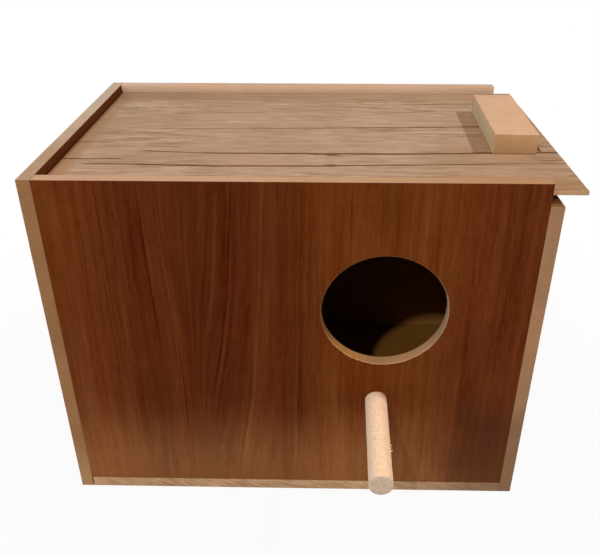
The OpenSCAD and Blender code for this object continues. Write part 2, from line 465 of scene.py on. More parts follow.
# Bare fibreboard: its light and dark colour, how rough it is, the drifts of its colour, and
# whether it shows slanting saw marks. A drift gives an axis, the two places on it in mm between
# which the board changes, the colour that it changes to, and how far.
FIBREBOARDS = {
    "sawn_edge": ((166, 126, 92), (134, 96, 66)),
    # Right panel's front edge: darker towards its foot, as painted shade
    "sawn_right_edge": ((163, 126, 94), (131, 96, 68), 1.0, [(Z, 100, 60, (104, 76, 54), 0.5)]),
    # Right panel's top, under the lid's overhang: darker and browner, as painted shade
    "sawn_right_top_edge": ((150, 100, 54), (116, 70, 32)),
    # Left panel's edge: paler towards its foot, as painted light
    "sawn_left_edge": ((151, 111, 76), (122, 84, 55), 1.0, [(Z, 50, 4, (190, 152, 112), 0.35)]),
    "sawn_top_edge": ((200, 156, 118), (178, 133, 98), 1.0, [
        (X, 30, -50, (197, 154, 124), 0.7), (X, 40, 120, (174, 124, 86), 0.7)]),
    "sawn_back_edge": ((214, 176, 146), (188, 150, 120), 1.0, [
        (X, -60, -130, (226, 196, 178), 0.45)]),
    "sawn_left_top_edge": ((190, 153, 122), (164, 127, 97), 1.0, [
        (Y, -85, 40, (212, 189, 166), 0.5)]),
    # Entrance wall: darker towards the top of the hole, as painted shade
    "sawn_entrance": ((208, 162, 122), (184, 138, 99), 1.0, [
        (X, 54, 32, (244, 172, 102), 0.9), (Z, 118, 142, (128, 84, 52), 0.8),
        (X, 84, 93, (180, 148, 120), 0.9)]),
    # Floor panel's edges: a lighter copy of the sawn edge, as painted light along the foot, with
    # painted shade towards the right
    "sawn_foot_edge_painted_light_and_shade": ((196, 161, 128), (142, 107, 77), 1.0, [
        (X, 80, 125, (92, 70, 52), 0.6)], True),
    "lid_edge": ((188, 153, 120), (144, 111, 82)),
    "inner_face": ((172, 126, 68), (144, 102, 50), 0.4),
    "inner_floor": ((166, 116, 56), (138, 94, 40), 0.4),
    # Back panel's face above the lid: darker just above the lid, as painted shade in the crease
    "back_lip": ((235, 201, 174), (209, 172, 144), 0.4, [(Z, 228.5, 225, (198, 172, 148), 0.9)]),
    "handle_face": ((224, 178, 143), (198, 151, 117), 0.5),
    "handle_edge": ((207, 169, 128), (167, 129, 90)),
    # Handle's left face: a lighter, cooler copy of its edge colour, as painted light from the cool
    # lamp on that side
    "handle_side_painted_light": ((224, 198, 162), (188, 158, 120)),
}
SAW_SLANT = 0.5


def fibreboard(name, light, dark, relief=1.0, drifts=(), sawn=False):
    """Bare fibreboard: pressed fibres and blotches, as FIBREBOARDS describes them."""
    net = Net(bpy.data.materials.new(name))
    light, dark = colour(*light), colour(*dark)
    place = net.place()
    axes = net.axes(place)
    fibres = net.noise(place, 1500.0, 4.0, 0.65)
    flecks = net.noise(place, 4200.0, 1.0)
    blotch = net.noise(place, 55.0, 3.0)
    warm = net.noise(place, 21.0, 1.0)
    tone = net.plus(net.product(blotch, 0.5), fibres, 0.5)
    if sawn:
        slant = net.plus(axes[Z], net.plus(axes[X], axes[Y]), SAW_SLANT)
        marks = net.stretched(net.vector(axes[X], slant, axes[Y]), (120.0, 560.0, 120.0))
        tone = net.swayed(tone, marks, 1.0)
    shade = net.ramp(tone, [(0.25, dark), (0.8, light)])
    shade = net.mix(net.span(warm, 0.35, 0.75, 0.0, 0.35), shade,
                    (light[0] * 1.02, light[1] * 0.92, light[2] * 0.86, 1.0))
    shade = net.mix(net.span(flecks, 0.6, 0.75, 0.0, 0.3), shade, dark)
    for axis, start, end, other, most in drifts:
        along = net.swayed(axes[axis], blotch, 0.6 * abs(end - start) * MM)
        shade = net.toward(net.span(along, start * MM, end * MM, 0.0, most), shade, other)
    height = net.plus(fibres, flecks, 0.5)
    return net.finish(shade, 0.82, 0.1, net.bump(height, 0.1 * MM * relief, 0.6))


# Cracks in the lid's oak print, each from (x, y) to (x, y) in mm, with width and strength
LID_CRACKS = [
    ((-88, 6.3), (-30, 7.2), 0.9, 0.5), ((-30, 7.2), (40, 9.6), 1.0, 0.75),
    ((40, 9.6), (128, 13.5), 1.2, 0.95),
    ((-92, -38.5), (-54, -41.8), 1.0, 0.85), ((-54, -41.8), (13, -41.3), 1.4, 1.0),
    ((13, -42.0), (58, -41.3), 1.8, 1.0), ((58, -41.3), (163, -36.5), 1.6, 1.0),
    ((-122, -61.3), (-92, -61.8), 1.0, 0.95), ((-92, -61.8), (-47, -63.5), 1.7, 1.0),
    ((-47, -63.5), (20, -62.5), 1.4, 0.95), ((20, -62.3), (70, -60.0), 1.3, 0.95),
    ((70, -60.0), (118, -57.5), 1.1, 0.8), ((118, -57.5), (163, -54.5), 0.9, 0.65),
    ((-150, -53.5), (-109, -52.5), 1.1, 1.0), ((-150, -22.5), (-120, -22.0), 1.0, 0.7),
    ((-122, -18.5), (-110, -18.2), 0.9, 0.5), ((-94, -29.5), (-76, -29.8), 0.9, 0.5),
    ((-72, 43.2), (-28, 43.6), 0.9, 0.45), ((32, -18.4), (52, -18.0), 0.9, 0.5),
    ((36, -26.5), (50, -26.3), 0.9, 0.4), ((80, 66.6), (128, 65.6), 0.9, 0.5),
    ((149, -25.8), (163, -25.4), 1.0, 0.6), ((-118, -30.5), (-104, -30.0), 0.8, 0.4),
]
# Knots and dark spots on those cracks, the last one a painted shadow beside the handle's front right
# corner: x, y, half length, half width in mm
LID_KNOTS_AND_PAINTED_SHADOW = [(23, -42.6, 6.6, 3.7), (22.5, -61.9, 5.4, 2.8), (152.3, -31, 1.6, 7.0)]
OAK_TONES = [
    (0.1, (124, 88, 62)), (0.38, (164, 129, 101)), (0.6, (186, 151, 124)), (0.9, (212, 182, 158)),
]
# Layers of that print, in the form of the walnut's, which follow the print's gentle flow
OAK_LAYERS = {
    "broad": ((8.0, 40.0, 1.0), 3.0, 0.5),
    "streak": ((28.0, 300.0, 3.0), 4.0, 0.62),
    "short": ((85.0, 420.0, 15.0), 2.0, 0.6),
    "fine": ((90.0, 1300.0, 5.0), 2.0, 0.7),
    "patches": ((45.0, 110.0, 7.0), 3.0, 0.6),
    "dashes": ((30.0, 380.0, 17.0), 1.0, 0.5),
    "pale": ((26.0, 400.0, 23.0), 1.0, 0.5),
}
# Layers that don't follow it
OAK_CLOUDS = {
    "flow": ((10.0, 34.0, 1.0), 2.0, 0.5),
    "calm": ((9.0, 20.0, 6.0), 1.0, 0.5),
    "rosy": ((14.0, 22.0, 9.0), 3.0, 0.5),
    "olive": ((9.0, 26.0, 31.0), 2.0, 0.5),
    "uneven": ((70.0, 420.0, 1.0), 2.0, 0.5),
}
OAK_FLOW = 3 * MM
CRACK_WANDER = 2.4 * MM
# Width of the painted shadows, warmer stretches of the print, along the left panel and the back panel
LEFT_PAINTED_SHADOW = 9 * MM
REAR_PAINTED_SHADOW = 23 * MM
# Painted shade: tint of the print towards the lid's right end
RIGHT_PAINTED_SHADE = (0.88, 0.81, 0.72, 1.0)


def oak_streaks(net, layer, cloud):
    """The print's streaks, short dashes, pale strokes and patches of another hue."""
    busy = net.span(cloud["calm"], 0.4, 0.62, 0.65, 1.2)
    tone = 0.5
    for part, share in (("streak", 1.0), ("short", 0.5), ("fine", 0.5)):
        tone = net.swayed(tone, layer[part], share)
    tone = net.swayed(0.5, tone, busy)
    for part, share in (("broad", 0.32), ("patches", 0.14)):
        tone = net.swayed(tone, layer[part], share)
    shade = net.tones(tone, OAK_TONES)
    for part, low, most, other in (("dashes", 0.63, 0.5, (120, 80, 54)),
                                   ("pale", 0.62, 0.4, (218, 190, 166))):
        share = net.product(net.span(layer[part], low, 0.76, 0.0, most), busy)
        shade = net.toward(share, shade, other)
    for part, low, most, other in (("rosy", 0.42, 0.4, (194, 150, 124)),
                                   ("olive", 0.45, 0.3, (166, 136, 104))):
        shade = net.toward(net.span(cloud[part], low, 0.7, 0.0, most), shade, other)
    return shade


def oak_painted_shade(net, x, y, patches, shade):
    """Painted shade: warmer shadows beside the left and back panels, a dark contact shade at the left
    panel, and darker print to the front and right.
    """
    ragged = net.swayed(0.0, patches, 14 * MM)
    # Painted shadow of the left panel's lip, warmer and ragged
    left_end = LID_LOW.x + LEFT_PAINTED_SHADOW
    left_painted_shadow = net.span(net.plus(x, ragged), left_end + 4 * MM, left_end - 2 * MM, 0.0, 0.6)
    further = net.span(y, -30 * MM, 50 * MM)
    shade = net.mix(left_painted_shadow, shade,
                    net.mix(further, colour(178, 128, 88), colour(172, 134, 100)))
    # Painted contact shade right against the left panel
    contact_painted_shade = net.span(x, LID_LOW.x + 4 * MM, LID_LOW.x + 0.5 * MM, 0.0, 0.55)
    shade = net.toward(contact_painted_shade, shade, (124, 78, 46))
    # Painted shadow of the back panel's lip, deeper towards the left
    rear_end = LID_HIGH.y - REAR_PAINTED_SHADOW
    back_painted_shadow = net.span(net.plus(y, ragged), rear_end - 4 * MM, rear_end + 4 * MM, 0.0, 0.4)
    shade = net.toward(back_painted_shadow, shade, (166, 126, 92))
    corner = net.product(back_painted_shadow, net.span(x, -30 * MM, -100 * MM, 0.0, 1.2))
    shade = net.toward(corner, shade, (148, 117, 92))
    # Painted shade towards the right end and the front
    to_right = net.plus(net.plus(x, ragged), y, -0.5)
    shade = net.mix(net.span(to_right, 74 * MM, 140 * MM, 0.0, 0.85), shade,
                    net.tinted(shade, RIGHT_PAINTED_SHADE))
    # Painted shade along the front panel
    return net.toward(net.span(y, -76 * MM, -84 * MM, 0.0, 0.45), shade, (164, 120, 82))


def crack(net, x, y, start, end, width, strength):
    """How deep one straight part of a crack is at a point: 1 in its middle, 0 beside it."""
    (x0, y0), (x1, y1) = start, end
    middle = net.straight(x, x0 * MM, x1 * MM, y0 * MM, y1 * MM)
    off = net.math("ABSOLUTE", net.math("SUBTRACT", y, middle))
    core = net.span(off, 0.25 * MM, 1.25 * width * MM, strength, 0.0)
    rise = net.span(x, (x0 - 7) * MM, x0 * MM)
    fall = net.span(x, x1 * MM, (x1 + 7) * MM, 1.0, 0.0)
    return net.product(core, rise, fall)


def knot_or_painted_shadow(net, x, y, at_x, at_y, half_x, half_y):
    """How dark one knot, or the painted shadow spot beside the handle, is at a point."""
    right = net.math("DIVIDE", net.plus(x, -at_x * MM), half_x * MM)
    up = net.math("DIVIDE", net.plus(y, -at_y * MM), half_y * MM)
    away = net.math("SQRT", net.plus(net.product(up, up), right, right))
    return net.span(away, 0.35, 1.1, 0.75, 0.0)


def oak_print(name):
    """Weathered-oak print on the lid: pale streaks along X, cracks, and knots on them, with painted
    shade and a painted shadow spot.
    """
    net = Net(bpy.data.materials.new(name))
    vector = net.place()
    x, y, _ = net.axes(vector)
    cloud = net.layers(vector, OAK_CLOUDS)
    layer = net.layers(net.vector(x, net.swayed(y, cloud["flow"], OAK_FLOW), 0.37), OAK_LAYERS)
    shade = oak_painted_shade(net, x, y, layer["patches"], oak_streaks(net, layer, cloud))
    wander = net.stretched(net.vector(x, 0.0, 2.0), (45.0, 1.0, 1.0), 3.0)
    beside = net.swayed(y, wander, CRACK_WANDER)
    cracks = net.highest([crack(net, x, beside, *values) for values in LID_CRACKS])
    cracks = net.product(cracks, net.span(cloud["uneven"], 0.28, 0.5, 0.66, 0.92))
    # Cracks, knots and the painted shadow spot, all drawn dark
    lines = net.highest([cracks] + [knot_or_painted_shadow(net, x, y, *values) for values in LID_KNOTS_AND_PAINTED_SHADOW])
    shade = net.toward(lines, shade, (86, 44, 14))
    height = net.plus(net.product(layer["fine"], 0.6), lines, -1.5)
    return net.finish(shade, 0.6, 0.06, net.bump(height, 0.05 * MM, 0.5), tint=PRINT_SHEEN)


# Layers of the dowel's wood, along X, Y and Z
DOWEL_LAYERS = {
    "fibres": ((1500.0, 420.0, 1500.0), 3.0, 0.7),
    "specks": ((800.0, 1300.0, 800.0), 2.0, 0.6),
    "strokes": ((760.0, 260.0, 760.0), 2.0, 0.6),
    "soft": ((260.0, 60.0, 260.0), 2.0, 0.5),
    "rings": ((500.0, 1.0, 500.0), 3.0, 0.6),
}
DOWEL_TONES = [(0.3, (242, 185, 142)), (0.5, (255, 209, 168)), (0.75, (255, 228, 196))]
DOWEL_ROSY = [(0.35, (228, 168, 138)), (0.65, (255, 222, 202))]
DOWEL_END = [(0.3, (175, 152, 133)), (0.7, (196, 174, 152))]


def dowel_wood(name):
    """Bare birch dowel: short raised fibres, rosy near the panel, and a greyer cut end, with painted
    light at its root and painted light colour on its two sides.
    """
    net = Net(bpy.data.materials.new(name))
    vector = net.place()
    place = net.axes(vector)
    layer = net.layers(vector, DOWEL_LAYERS)
    tone = net.plus(net.product(layer["fibres"], 0.85), layer["soft"], 0.25)
    shade = net.tones(tone, DOWEL_TONES)
    base = net.span(place[Y], PERCH_HOLE.y - 42 * MM, PERCH_HOLE.y - 4 * MM)
    shade = net.mix(net.product(base, 0.5), shade, net.tones(layer["fibres"], DOWEL_ROSY))
    # Painted light at the root, where the panel shades the perch
    root = net.span(place[Y], PERCH_HOLE.y - 14 * MM, PERCH_HOLE.y - 2 * MM, 0.0, 0.65)
    shade = net.toward(root, shade, (255, 222, 192))
    dots = net.highest([net.span(layer["specks"], 0.58, 0.69, 0.0, 0.42),
                        net.span(layer["strokes"], 0.56, 0.7, 0.0, 0.45)])
    dots = net.product(dots, net.plus(1.0, root, 1.1))
    shade = net.toward(dots, shade, (214, 156, 122))
    # Painted light colour on the perch's sides: greyer on the left, peach on the right
    lean = math.tan(PERCH_LEAN)
    middle = PERCH_HOLE.x - PERCH_HOLE.y * lean
    off = net.plus(net.plus(place[X], -middle), place[Y], -lean)
    shade = net.toward(net.span(off, -1.0 * MM, -6.5 * MM, 0.0, 0.6), shade, (240, 212, 194))
    shade = net.toward(net.span(off, 0.5 * MM, 6.5 * MM, 0.0, 0.35), shade, (250, 190, 140))
    tip = PERCH_HOLE.y - PERCH_OUT
    end = net.span(place[Y], tip - 3.0 * MM, tip - 3.4 * MM)
    shade = net.mix(end, shade, net.tones(layer["rings"], DOWEL_END))
    height = net.plus(layer["fibres"], layer["specks"], 0.5)
    return net.finish(shade, 0.78, 0.15, net.bump(height, 0.15 * MM, 0.7))


def brad_steel(name):
    """Drawn steel wire: brushed, a little dull in patches."""
    net = Net(bpy.data.materials.new(name))
    place = net.place()
    brushed = net.noise(place, 3000.0)
    dull = net.noise(place, 350.0)
    shade = net.mix(net.span(dull, 0.45, 0.7), colour(176, 176, 172), colour(128, 120, 108))
    rough = net.plus(0.28, brushed, 0.25)
    return net.finish(shade, rough, 0.5, net.bump(brushed, 0.02 * MM, 0.4), metallic=0.9)


def build_materials():
    made = {name: fibreboard(name, *values) for name, values in FIBREBOARDS.items()}
    made.update({values[0]: walnut(*values) for values in WALNUTS})
    made["oak_print"] = oak_print("oak_print")
    made["dowel"] = dowel_wood("dowel")
    made["steel"] = brad_steel("steel")
    return made


def add_object(name, data):
    made = bpy.data.objects.new(name, data)
    bpy.context.scene.collection.objects.link(made)
    return made


def block(mesh, low, high):
    """Adds a plain block, used as a cutter."""
    made = bmesh.ops.create_cube(mesh, size=1.0)
    size, centre = high - low, (low + high) / 2
    for point in made["verts"]:
        point.co = Vector(c * s for c, s in zip(point.co, size)) + centre


def wear_edges(mesh, low, high, depth, reach):
    """Moves the points of the rounded edges inwards by an uneven amount, as handled edges are."""
    for point in mesh.verts:
        inward = Vector((0, 0, 0))
        for axis in (X, Y, Z):
            if point.co[axis] - low[axis] < reach:
                inward[axis] = 1
            elif high[axis] - point.co[axis] < reach:
                inward[axis] = -1
        if inward.length > 1.2:
            rub = 0.5 + 0.5 * noise.noise(point.co * RUBS)
            dent = max(0.0, noise.noise(point.co * DENTS + DENT_SEED) - DENT_LEVEL) * DENT_DEPTH
            point.co += inward.normalized() * depth * min(1.0, rub * 0.5 + dent)


def grid_places(low, high, rounding, step):
    """Where a board's mesh is divided along one axis: closely at its rounded edges."""
    edge = (0.0, rounding / 2, rounding, rounding + EDGE_STRIP)
    first, last = low + edge[-1], high - edge[-1]
    count = max(1, round((last - first) / step))
    between = [first + (last - first) * index / count for index in range(1, count)]
    return [low + place for place in edge] + between + [high - place for place in edge[::-1]]


def board_mesh(low, high, rounding, wear, step=BOARD_STEP):
    """Board with rounded and slightly worn edges, as a bmesh."""
    mesh = bmesh.new()
    places = [grid_places(low[axis], high[axis], rounding, step) for axis in (X, Y, Z)]
    core_low = low + Vector((rounding, rounding, rounding))
    core_high = high - Vector((rounding, rounding, rounding))
    points = {}

    def point(key):
        if key not in points:
            at = Vector(places[axis][key[axis]] for axis in (X, Y, Z))
            core = Vector(min(max(a, b), c) for a, b, c in zip(at, core_low, core_high))
            points[key] = mesh.verts.new(core + (at - core).normalized() * rounding)
        return points[key]

    for axis in (X, Y, Z):
        across, up = (axis + 1) % 3, (axis + 2) % 3
        for end in (0, len(places[axis]) - 1):
            for i in range(len(places[across]) - 1):
                for j in range(len(places[up]) - 1):
                    corners = []
                    for right, rise in ((0, 0), (1, 0), (1, 1), (0, 1)):
                        key = [0, 0, 0]
                        key[axis], key[across], key[up] = end, i + right, j + rise
                        corners.append(point(tuple(key)))
                    mesh.faces.new(corners if end else corners[::-1])
    wear_edges(mesh, low, high, wear, rounding * 1.01)
    return mesh


def skin(mesh, rings):
    """Adds the faces between rings of points, and one across each end."""
    sides = len(rings[0])
    for first, second in zip(rings, rings[1:]):
        for index in range(sides):
            following = (index + 1) % sides
            mesh.faces.new((first[index], first[following], second[following], second[index]))
    mesh.faces.new(rings[0][::-1])
    mesh.faces.new(rings[-1])


def turned(mesh, origin, axis, profile, sides, radius_at=None):
    """Adds a closed turned solid: profile is a list of (distance along axis, radius)."""
    axis = Vector(axis).normalized()
    side = axis.orthogonal().normalized()
    other = axis.cross(side)
    if abs(axis.y) > 0.5:
        side, other = Vector((1, 0, 0)), Vector((0, 0, 1))
    rings = []
    for place, (distance, radius) in enumerate(profile):
        ring = []
        for index in range(sides):
            angle = 2 * math.pi * index / sides
            reach = radius_at(place, angle, radius) if radius_at else radius
            offset = side * math.cos(angle) * reach + other * math.sin(angle) * reach
            ring.append(mesh.verts.new(origin + axis * distance + offset))
        rings.append(ring)
    skin(mesh, rings)


def heading(angle):
    return Vector((math.cos(angle), math.sin(angle), 0))


def degrees_off(angle, degrees):
    """How many degrees an angle in radians is away from one in degrees."""
    return abs((math.degrees(angle) - degrees + 180) % 360 - 180)


def set_down(mesh, place, angle):
    """Turns a bmesh about Z and moves it to its place."""
    at = Matrix.Translation(place) @ Matrix.Rotation(angle, 4, "Z")
    bmesh.ops.transform(mesh, matrix=at, verts=mesh.verts[:])


def to_object(name, mesh):
    """Turns a bmesh into an object at the origin, its faces turned outwards."""
    bmesh.ops.recalc_face_normals(mesh, faces=mesh.faces[:])
    data = bpy.data.meshes.new(name)
    mesh.to_mesh(data)
    mesh.free()
    return add_object(name, data)


def carve(piece, cutter_mesh):
    """Cuts the cutter's solids out of the piece, for good."""
    cutter = to_object("cutter", cutter_mesh)
    cut = piece.modifiers.new("cut", "BOOLEAN")
    cut.operation = "DIFFERENCE"
    cut.solver = "EXACT"
    cut.object = cutter
    shown = piece.evaluated_get(bpy.context.evaluated_depsgraph_get())
    data = bpy.data.meshes.new_from_object(shown)
    piece.modifiers.clear()
    old = piece.data
    piece.data = data
    bpy.data.meshes.remove(old)
    cutter_data = cutter.data
    bpy.data.objects.remove(cutter)
    bpy.data.meshes.remove(cutter_data)
    piece.data.name = piece.name


# For each joint, named after the two boards that it holds: the axis its brads are spread along,
# and the way they are driven
BRAD_JOINTS = {
    "left_front_brads": (Z, (1, 0, 0)),
    "left_back_brads": (Z, (1, 0, 0)),
    "left_floor_brads": (Y, (1, 0, 0)),
    "right_front_brads": (Z, (-1, 0, 0)),
    "right_floor_brads": (Y, (-1, 0, 0)),
    "back_right_brads": (Z, (0, -1, 0)),
    "back_floor_brads": (X, (0, -1, 0)),
    "floor_front_brads": (X, (0, 0, 1)),
}


def brad_places(node, spread_axis, drive):
    """Where the brads of one joint enter, evenly spaced along one axis."""
    low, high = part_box(node)
    start = low[spread_axis] + BRAD_HEAD_RADIUS
    end = high[spread_axis] - BRAD_HEAD_RADIUS
    places = []
    for index in range(BRADS_A_JOINT):
        place = (low + high) / 2
        place[spread_axis] = start + (end - start) * index / (BRADS_A_JOINT - 1)
        for axis in (X, Y, Z):
            if drive[axis]:
                place[axis] = low[axis] if drive[axis] > 0 else high[axis]
        places.append(place)
    return places


def brad_cutters(mesh, board):
    """Adds the holes of the brads in one board, a little torn at the face that they enter."""
    for node, (spread_axis, drive) in BRAD_JOINTS.items():
        if board not in node:
            continue
        low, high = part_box(node)
        length = max(abs((high - low)[axis] * drive[axis]) for axis in (X, Y, Z))
        for place in brad_places(node, spread_axis, drive):

            def torn(ring, angle, radius, seed=place * 900):
                if ring > 1:
                    return radius
                return radius + 0.2 * MM * (0.5 + noise.noise(seed + heading(angle) * 2.5))

            turned(mesh, place, drive, [
                (-CUT, HEAD_HOLE + 0.2 * MM), (0.0, HEAD_HOLE + 0.1 * MM), (0.25 * MM, HEAD_HOLE),
                (BRAD_HEAD, HEAD_HOLE), (SHANK_START, SHANK_HOLE), (length + BRAD_GAP, SHANK_HOLE),
            ], BRAD_SIDES, torn)


def dress(piece, faces, rest):
    """Gives each flat face of a board its material; what is left is a sawn edge.

    A face is named by its axis and side, and by the height it starts at where only a part
    of that side has the material.
    """
    data = piece.data
    data.materials.clear()
    data.materials.append(rest)
    low = [min(point.co[axis] for point in data.vertices) for axis in (X, Y, Z)]
    high = [max(point.co[axis] for point in data.vertices) for axis in (X, Y, Z)]
    for (axis, side, above), material in faces.items():
        data.materials.append(material)
        slot = len(data.materials) - 1
        plane = high[axis] if side > 0 else low[axis]
        for face in data.polygons:
            flat = face.normal[axis] * side > 0.9 and abs(face.center[axis] - plane) < 0.3 * MM
            if flat and face.center.z > above:
                face.material_index = slot


def smooth(piece, degrees=30):
    """Shades the piece smoothly, with sharp edges above this angle."""
    for face in piece.data.polygons:
        face.use_smooth = True
    piece.data.set_sharp_from_angle(angle=math.radians(degrees))


def settle(piece, body, slot, *nodes):
    """Puts a finished piece on its body, in place of the nodes that it stands for."""
    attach(piece, body)
    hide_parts(*nodes)


def make_panel(board, low, high, cutter, faces, rest):
    """One panel of the box: a worn board with its cuts, its brads' holes and its materials."""
    piece = to_object(board + "_board", board_mesh(low, high, BOARD_ROUND, BOARD_WEAR))
    brad_cutters(cutter, board)
    carve(piece, cutter)
    dress(piece, faces, rest)
    smooth(piece)
    settle(piece, "box", "walnut_board", board + "_panel")
    return piece


# Where the entrance's rim is chipped: angle in degrees from +X towards +Z, depth, half width
RIM_CHIPS = [
    (225, 0.9 * MM, 1.3), (230, 0.5 * MM, 1.0), (243, 1.0 * MM, 1.6), (249, 0.4 * MM, 1.2),
    (262, 0.3 * MM, 1.0), (301, 0.35 * MM, 1.2), (12, 0.3 * MM, 1.0), (137, 0.4 * MM, 1.4),
]


def rim_radius(ring, angle, radius):
    """Radius of the entrance's rounded rim, with its small chips."""
    if ring > 1:
        return radius
    around = heading(angle)
    extra = 0.12 * MM * noise.noise(around * 14) + 0.08 * MM * noise.noise(around * 55)
    for at, depth, half in RIM_CHIPS:
        extra = max(extra, depth * max(0.0, 1 - (degrees_off(angle, at) / half) ** 2))
    return radius + extra


def torn_hole(ring, angle, radius):
    """Radius of the perch's hole, torn open a little at its upper right, where it breaks out."""
    if ring > 2:
        return radius
    torn = max(0.0, 1 - (degrees_off(angle, 38) / 42) ** 2) * 0.12 * MM
    rough = 0.1 * MM * max(0.0, noise.noise(heading(angle) * 5))
    return radius + (torn + rough) * (1.0 - 0.45 * (ring == 2))


def make_front(materials):
    cutter = bmesh.new()
    turned(cutter, ENTRANCE_CENTRE, (0, 1, 0), [
        (-CUT, ENTRANCE_RADIUS + ENTRANCE_ROUND + 0.3 * MM),
        (0.0, ENTRANCE_RADIUS + ENTRANCE_ROUND),
        (0.15 * MM, ENTRANCE_RADIUS + ENTRANCE_ROUND * 0.4),
        (ENTRANCE_ROUND, ENTRANCE_RADIUS),
        (BOARD - ENTRANCE_FLARE, ENTRANCE_RADIUS),
        (BOARD, ENTRANCE_RADIUS + ENTRANCE_FLARE),
        (BOARD + CUT, ENTRANCE_RADIUS + 2 * ENTRANCE_FLARE),
    ], ENTRANCE_SIDES, rim_radius)
    hole = Vector((PERCH_HOLE.x, FRONT_LOW.y, PERCH_HOLE.z))
    turned(cutter, hole, (0, 1, 0), [
        (depth, PERCH_RADIUS + PERCH_GAP) for depth in (-CUT, 0.0, 0.5 * MM, 1.0 * MM, BOARD + CUT)
    ], PERCH_HOLE_SIDES, torn_hole)
    block(cutter, Vector((FRONT_LOW.x - CUT, LID_LOW.y - LID_PLAY, LID_LOW.z)),
          Vector((FRONT_HIGH.x + CUT, FRONT_HIGH.y + CUT, LID_HIGH.z + LID_PLAY)))
    piece = make_panel("front", FRONT_LOW, FRONT_HIGH, cutter, {
        (Y, -1, 0): materials["walnut_front"], (Y, 1, 0): materials["inner_face"],
        (Z, 1, 0): materials["sawn_top_edge"],
    }, materials["sawn_edge"])
    piece.data.materials.append(materials["sawn_entrance"])
    slot = len(piece.data.materials) - 1
    for face in piece.data.polygons:
        away = face.center - ENTRANCE_CENTRE
        near = math.hypot(away.x, away.z) < ENTRANCE_RADIUS + 2 * ENTRANCE_ROUND
        if near and face.material_index == 0:
            face.material_index = slot


def make_back(materials):
    cutter = bmesh.new()
    block(cutter, Vector((BACK_LOW.x - CUT, BACK_LOW.y - CUT, LID_LOW.z)),
          Vector((BACK_HIGH.x + CUT, LID_HIGH.y + LID_PLAY, LID_HIGH.z + LID_PLAY)))
    make_panel("back", BACK_LOW, BACK_HIGH, cutter, {
        (Y, 1, 0): materials["walnut_back"], (Y, -1, 0): materials["inner_face"],
        (Y, -1, LID_HIGH.z): materials["back_lip"],
    }, materials["sawn_back_edge"])


def make_side(materials, hand, low, high, side, inner):
    make_panel(hand, low, high, bmesh.new(), {
        (X, side, 0): materials["walnut_" + hand], (X, -side, 0): materials[inner],
        (Z, 1, 0): materials["sawn_" + hand + "_top_edge"],
    }, materials["sawn_" + hand + "_edge"])


def make_floor(materials):
    cutter = bmesh.new()
    corner = Vector((FLOOR_LOW.x, FLOOR_LOW.y, FLOOR_HIGH.z))
    block(cutter, corner - Vector((CUT, CUT, FLOOR_NOTCH.z)),
          corner + Vector((FLOOR_NOTCH.x, FLOOR_NOTCH.y, CUT)))
    make_panel("floor", FLOOR_LOW, FLOOR_HIGH, cutter, {
        (Z, 1, 0): materials["inner_floor"], (Z, -1, -1): materials["walnut_under"],
    }, materials["sawn_foot_edge_painted_light_and_shade"])


def make_lid(materials):
    piece = to_object("lid_sheet", board_mesh(LID_LOW, LID_HIGH, LID_ROUND, BOARD_WEAR))
    cutter = bmesh.new()
    turn = Matrix.Rotation(HANDLE_TURN, 3, "Z")
    for side in (-1, 1):
        place = HANDLE_CENTRE + turn @ Vector((0, side * HANDLE_BRAD_GAP / 2, 0))
        place.z = LID_LOW.z
        turned(cutter, place, (0, 0, 1), [
            (-CUT, HEAD_HOLE), (BRAD_HEAD, HEAD_HOLE), (SHANK_START, SHANK_HOLE),
            (LID_HIGH.z - LID_LOW.z + CUT, SHANK_HOLE),
        ], BRAD_SIDES)
    carve(piece, cutter)
    dress(piece, {(Z, 1, 0): materials["oak_print"], (Z, -1, 0): materials["inner_face"]},
          materials["lid_edge"])
    smooth(piece)
    settle(piece, "sliding_lid", "oak_print_board", "lid")


def make_handle(materials):
    size = Vector((HANDLE_WIDTH, HANDLE_LENGTH, HANDLE_HIGH.z - HANDLE_LOW.z))
    mesh = board_mesh(-size / 2, size / 2, HANDLE_ROUND, HANDLE_WEAR, HANDLE_STEP)
    set_down(mesh, HANDLE_CENTRE, HANDLE_TURN)
    piece = to_object("handle_block", mesh)
    # The handle's left face gets the painted-light copy of its edge colour
    for name in ("handle_edge", "handle_face", "handle_side_painted_light"):
        piece.data.materials.append(materials[name])
    for face in piece.data.polygons:
        if face.normal.z > 0.35:
            face.material_index = 1
        elif face.normal.x < -0.7:
            face.material_index = 2
    smooth(piece)
    settle(piece, "sliding_lid", "raw_fibreboard", "lid_handle")


# Perch mesh: spacing of its rings, points in a ring, how far fibres lift, and its worn end
PERCH_STEP = 0.45 * MM
PERCH_SIDES = 160
PERCH_FUZZ = 0.2 * MM
PERCH_SANDED = 0.08 * MM
PERCH_EDGE = 0.6 * MM
PERCH_END_RINGS = 10
PERCH_END_ROUGH = 0.05 * MM
# Splinters on it: distance from its free end in mm, angle from +X towards +Z in degrees, then
# length and thickness in mm
SPLINTERS = [
    (25.5, 16, 1.6, 0.8), (28.5, 12, 0.9, 0.9), (31.5, 8, 1.0, 0.9), (34.5, 14, 0.7, 0.6),
    (42, 172, 0.8, 0.8), (46, 168, 0.7, 0.6), (12, 172, 0.6, 0.3), (52, 8, 0.7, 0.4),
    (24, 165, 0.6, 0.22), (60, 40, 0.6, 0.25), (68, 75, 0.8, 0.3), (44, 120, 0.5, 0.2),
]


